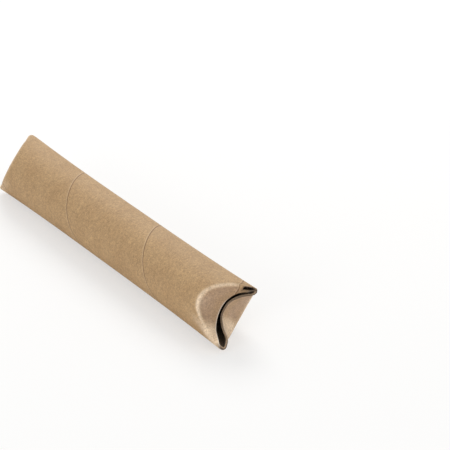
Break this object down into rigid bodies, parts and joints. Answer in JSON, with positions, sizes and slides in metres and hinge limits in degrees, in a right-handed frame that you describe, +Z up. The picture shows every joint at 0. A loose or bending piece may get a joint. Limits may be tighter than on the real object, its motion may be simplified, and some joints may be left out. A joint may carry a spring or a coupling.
{
  "type": "cardboard mailing tube",
  "caption": "Plain kraft board mailing tube lying on its side, each end folded shut along curved creases so that the rim stands up as pointed tips.",
  "frame": {"origin": "bottom centre of the bounding box, on the surface that the tube lies on", "axes": "+Z up, Y along the tube with the front end at -Y; the line through an end's tips rises 54 degrees from -X towards +X"},
  "size_m": [0.0548, 0.3666, 0.0545],
  "materials": {
    "kraft_board": "matte"
  },
  "bodies": {
    "root": {"tube": "kraft_board"}
  },
  "joints": []
}
